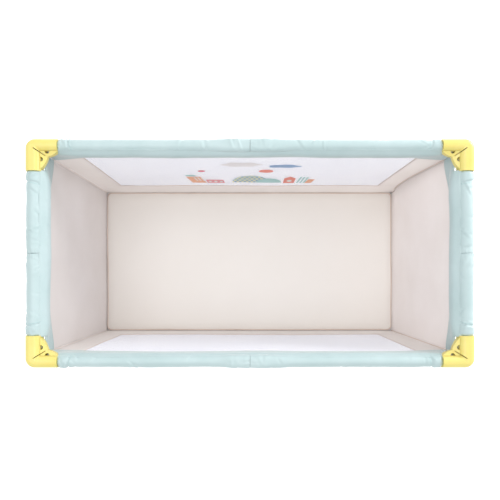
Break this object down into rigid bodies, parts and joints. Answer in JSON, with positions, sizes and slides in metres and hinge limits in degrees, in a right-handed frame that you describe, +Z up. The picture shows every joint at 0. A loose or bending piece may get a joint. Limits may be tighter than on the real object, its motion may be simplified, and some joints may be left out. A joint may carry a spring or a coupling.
{
  "type": "folding playpen",
  "caption": "Rectangular folding playpen with padded top rails, moulded corner brackets, fabric and mesh walls, a padded mattress and a centre-hub folding base.",
  "frame": {"origin": "on the ground, under the middle of the pen", "axes": "+X along the long side, +Y along the short side towards the back, +Z up"},
  "size_m": [1.26, 0.642, 0.763],
  "materials": {
    "bracket_plastic": "satin moulded",
    "rivet_steel": "plain",
    "frame_steel": "satin powder coat",
    "foot_rubber": "matte",
    "grey_plastic": "matte moulded",
    "button_plastic": "satin",
    "mint_fabric": "woven oxford, padded",
    "mesh_fabric": "fine mesh with fabric borders",
    "wall_fabric": "woven oxford",
    "mattress_fabric": "smooth woven, padded",
    "strap_webbing": "webbing"
  },
  "bodies": {
    "post_back_right": {"leg_tube_back_right": "frame_steel", "corner_bracket_back_right": "bracket_plastic", "corner_rivets_back_right": "rivet_steel", "corner_foot_back_right": "grey_plastic", "foot_pad_back_right": "foot_rubber", "post_cover_back_right": "wall_fabric"},
    "arm_back_right": {"base_arm_back_right": "frame_steel"},
    "post_back_left": {"leg_tube_back_left": "frame_steel", "corner_bracket_back_left": "bracket_plastic", "corner_rivets_back_left": "rivet_steel", "corner_foot_back_left": "grey_plastic", "foot_pad_back_left": "foot_rubber", "post_cover_back_left": "wall_fabric", "back_wall": "mesh_fabric"},
    "arm_back_left": {"base_arm_back_left": "frame_steel"},
    "post_front_right": {"leg_tube_front_right": "frame_steel", "corner_bracket_front_right": "bracket_plastic", "corner_rivets_front_right": "rivet_steel", "corner_foot_front_right": "grey_plastic", "foot_pad_front_right": "foot_rubber", "post_cover_front_right": "wall_fabric", "right_wall": "wall_fabric"},
    "arm_front_right": {"base_arm_front_right": "frame_steel"},
    "post_front_left": {"leg_tube_front_left": "frame_steel", "corner_bracket_front_left": "bracket_plastic", "corner_rivets_front_left": "rivet_steel", "corner_foot_front_left": "grey_plastic", "foot_pad_front_left": "foot_rubber", "post_cover_front_left": "wall_fabric", "front_wall": "mesh_fabric", "left_wall": "wall_fabric"},
    "arm_front_left": {"base_arm_front_left": "frame_steel"},
    "hub": {"hub_housing": "grey_plastic", "pull_strap": "strap_webbing", "floor_sheet": "wall_fabric"},
    "mattress": {"mattress": "mattress_fabric"},
    "front_rail_a": {"front_tube_a": "frame_steel", "front_sleeve_a": "mint_fabric"},
    "front_rail_b": {"front_tube_b": "frame_steel", "front_sleeve_b": "mint_fabric"},
    "front_latch": {"front_latch_housing": "grey_plastic"},
    "front_button": {"front_latch_button": "button_plastic"},
    "back_rail_a": {"back_tube_a": "frame_steel", "back_sleeve_a": "mint_fabric"},
    "back_rail_b": {"back_tube_b": "frame_steel", "back_sleeve_b": "mint_fabric"},
    "back_latch": {"back_latch_housing": "grey_plastic"},
    "back_button": {"back_latch_button": "button_plastic"},
    "left_rail_a": {"left_tube_a": "frame_steel", "left_sleeve_a": "mint_fabric"},
    "left_rail_b": {"left_tube_b": "frame_steel", "left_sleeve_b": "mint_fabric"},
    "left_latch": {"left_latch_housing": "grey_plastic"},
    "left_button": {"left_latch_button": "button_plastic"},
    "right_rail_a": {"right_tube_a": "frame_steel", "right_sleeve_a": "mint_fabric"},
    "right_rail_b": {"right_tube_b": "frame_steel", "right_sleeve_b": "mint_fabric"},
    "right_latch": {"right_latch_housing": "grey_plastic"},
    "right_button": {"right_latch_button": "button_plastic"}
  },
  "joints": [
    {"name": "frame_fold", "type": "hinge", "parent": "post_front_left", "child": "arm_front_left", "pos_m": [-0.58, -0.254, 0.032], "axis": [0.4014, -0.9159, 0], "range_deg": [0, 82], "deforming": ["front_wall", "back_wall", "left_wall", "right_wall", "floor_sheet"]},
    {"name": "hub_pivot_front_left", "type": "hinge", "parent": "arm_front_left", "child": "hub", "pos_m": [-0.037, -0.016, 0.032], "axis": [0.4014, -0.9159, 0], "range_deg": [-82, 0]},
    {"name": "hub_pivot_front_right", "type": "hinge", "parent": "hub", "child": "arm_front_right", "pos_m": [0.037, -0.016, 0.032], "axis": [0.4014, 0.9159, 0], "range_deg": [0, 82]},
    {"name": "foot_pivot_front_right", "type": "hinge", "parent": "arm_front_right", "child": "post_front_right", "pos_m": [0.58, -0.254, 0.032], "axis": [0.4014, 0.9159, 0], "range_deg": [-82, 0]},
    {"name": "hub_pivot_back_left", "type": "hinge", "parent": "hub", "child": "arm_back_left", "pos_m": [-0.037, 0.016, 0.032], "axis": [-0.4014, -0.9159, 0], "range_deg": [0, 82]},
    {"name": "foot_pivot_back_left", "type": "hinge", "parent": "arm_back_left", "child": "post_back_left", "pos_m": [-0.58, 0.254, 0.032], "axis": [-0.4014, -0.9159, 0], "range_deg": [-82, 0]},
    {"name": "hub_pivot_back_right", "type": "hinge", "parent": "hub", "child": "arm_back_right", "pos_m": [0.037, 0.016, 0.032], "axis": [-0.4014, 0.9159, 0], "range_deg": [0, 82]},
    {"name": "foot_pivot_back_right", "type": "hinge", "parent": "arm_back_right", "child": "post_back_right", "pos_m": [0.58, 0.254, 0.032], "axis": [-0.4014, 0.9159, 0], "range_deg": [-82, 0]},
    {"name": "front_rail_fold", "type": "hinge", "parent": "post_front_left", "child": "front_rail_a", "pos_m": [-0.569, -0.304, 0.74], "axis": [0, 1, 0], "range_deg": [0, 82]},
    {"name": "front_latch_level", "type": "hinge", "parent": "front_rail_a", "child": "front_latch", "pos_m": [-0.026, -0.304, 0.74], "axis": [0, 1, 0], "range_deg": [-82, 0]},
    {"name": "front_rail_unfold", "type": "hinge", "parent": "front_latch", "child": "front_rail_b", "pos_m": [0.026, -0.304, 0.74], "axis": [0, -1, 0], "range_deg": [0, 82]},
    {"name": "front_latch_press", "type": "slide", "parent": "front_latch", "child": "front_button", "axis": [0, 0, 1], "range_m": [0, 0.0045], "stiffness_N_per_m": 400, "springref_m": -0.004},
    {"name": "back_rail_fold", "type": "hinge", "parent": "post_back_left", "child": "back_rail_a", "pos_m": [-0.569, 0.304, 0.74], "axis": [0, 1, 0], "range_deg": [0, 82]},
    {"name": "back_latch_level", "type": "hinge", "parent": "back_rail_a", "child": "back_latch", "pos_m": [-0.026, 0.304, 0.74], "axis": [0, 1, 0], "range_deg": [-82, 0]},
    {"name": "back_rail_unfold", "type": "hinge", "parent": "back_latch", "child": "back_rail_b", "pos_m": [0.026, 0.304, 0.74], "axis": [0, -1, 0], "range_deg": [0, 82]},
    {"name": "back_latch_press", "type": "slide", "parent": "back_latch", "child": "back_button", "axis": [0, 0, 1], "range_m": [0, 0.0045], "stiffness_N_per_m": 400, "springref_m": -0.004},
    {"name": "left_rail_fold", "type": "hinge", "parent": "post_front_left", "child": "left_rail_a", "pos_m": [-0.609, -0.264, 0.74], "axis": [-1, 0, 0], "range_deg": [0, 82]},
    {"name": "left_latch_level", "type": "hinge", "parent": "left_rail_a", "child": "left_latch", "pos_m": [-0.609, -0.026, 0.74], "axis": [-1, 0, 0], "range_deg": [-82, 0]},
    {"name": "left_rail_unfold", "type": "hinge", "parent": "left_latch", "child": "left_rail_b", "pos_m": [-0.609, 0.026, 0.74], "axis": [1, 0, 0], "range_deg": [0, 82]},
    {"name": "left_latch_press", "type": "slide", "parent": "left_latch", "child": "left_button", "axis": [0, 0, 1], "range_m": [0, 0.0045], "stiffness_N_per_m": 400, "springref_m": -0.004},
    {"name": "right_rail_fold", "type": "hinge", "parent": "post_front_right", "child": "right_rail_a", "pos_m": [0.609, -0.264, 0.74], "axis": [-1, 0, 0], "range_deg": [0, 82]},
    {"name": "right_latch_level", "type": "hinge", "parent": "right_rail_a", "child": "right_latch", "pos_m": [0.609, -0.026, 0.74], "axis": [-1, 0, 0], "range_deg": [-82, 0]},
    {"name": "right_rail_unfold", "type": "hinge", "parent": "right_latch", "child": "right_rail_b", "pos_m": [0.609, 0.026, 0.74], "axis": [1, 0, 0], "range_deg": [0, 82]},
    {"name": "right_latch_press", "type": "slide", "parent": "right_latch", "child": "right_button", "axis": [0, 0, 1], "range_m": [0, 0.0045], "stiffness_N_per_m": 400, "springref_m": -0.004},
    {"name": "mattress_lift", "type": "slide", "parent": "hub", "child": "mattress", "axis": [0, 0, 1], "range_m": [0, 0.1305], "deforming": ["mattress"]}
  ],
  "couplings": [
    {"joint": "hub_pivot_front_left", "follows": "frame_fold", "ratio": -1},
    {"joint": "hub_pivot_front_right", "follows": "frame_fold", "ratio": 1},
    {"joint": "foot_pivot_front_right", "follows": "frame_fold", "ratio": -1},
    {"joint": "hub_pivot_back_left", "follows": "frame_fold", "ratio": 1},
    {"joint": "foot_pivot_back_left", "follows": "frame_fold", "ratio": -1},
    {"joint": "hub_pivot_back_right", "follows": "frame_fold", "ratio": 1},
    {"joint": "foot_pivot_back_right", "follows": "frame_fold", "ratio": -1},
    {"joint": "front_rail_fold", "follows": "frame_fold", "ratio": 1},
    {"joint": "front_latch_level", "follows": "frame_fold", "ratio": -1},
    {"joint": "front_rail_unfold", "follows": "frame_fold", "ratio": 1},
    {"joint": "back_rail_fold", "follows": "frame_fold", "ratio": 1},
    {"joint": "back_latch_level", "follows": "frame_fold", "ratio": -1},
    {"joint": "back_rail_unfold", "follows": "frame_fold", "ratio": 1},
    {"joint": "left_rail_fold", "follows": "frame_fold", "ratio": 1},
    {"joint": "left_latch_level", "follows": "frame_fold", "ratio": -1},
    {"joint": "left_rail_unfold", "follows": "frame_fold", "ratio": 1},
    {"joint": "right_rail_fold", "follows": "frame_fold", "ratio": 1},
    {"joint": "right_latch_level", "follows": "frame_fold", "ratio": -1},
    {"joint": "right_rail_unfold", "follows": "frame_fold", "ratio": 1},
    {"joint": "mattress_lift", "follows": "frame_fold", "m_per_rad": 0.089787}
  ]
}
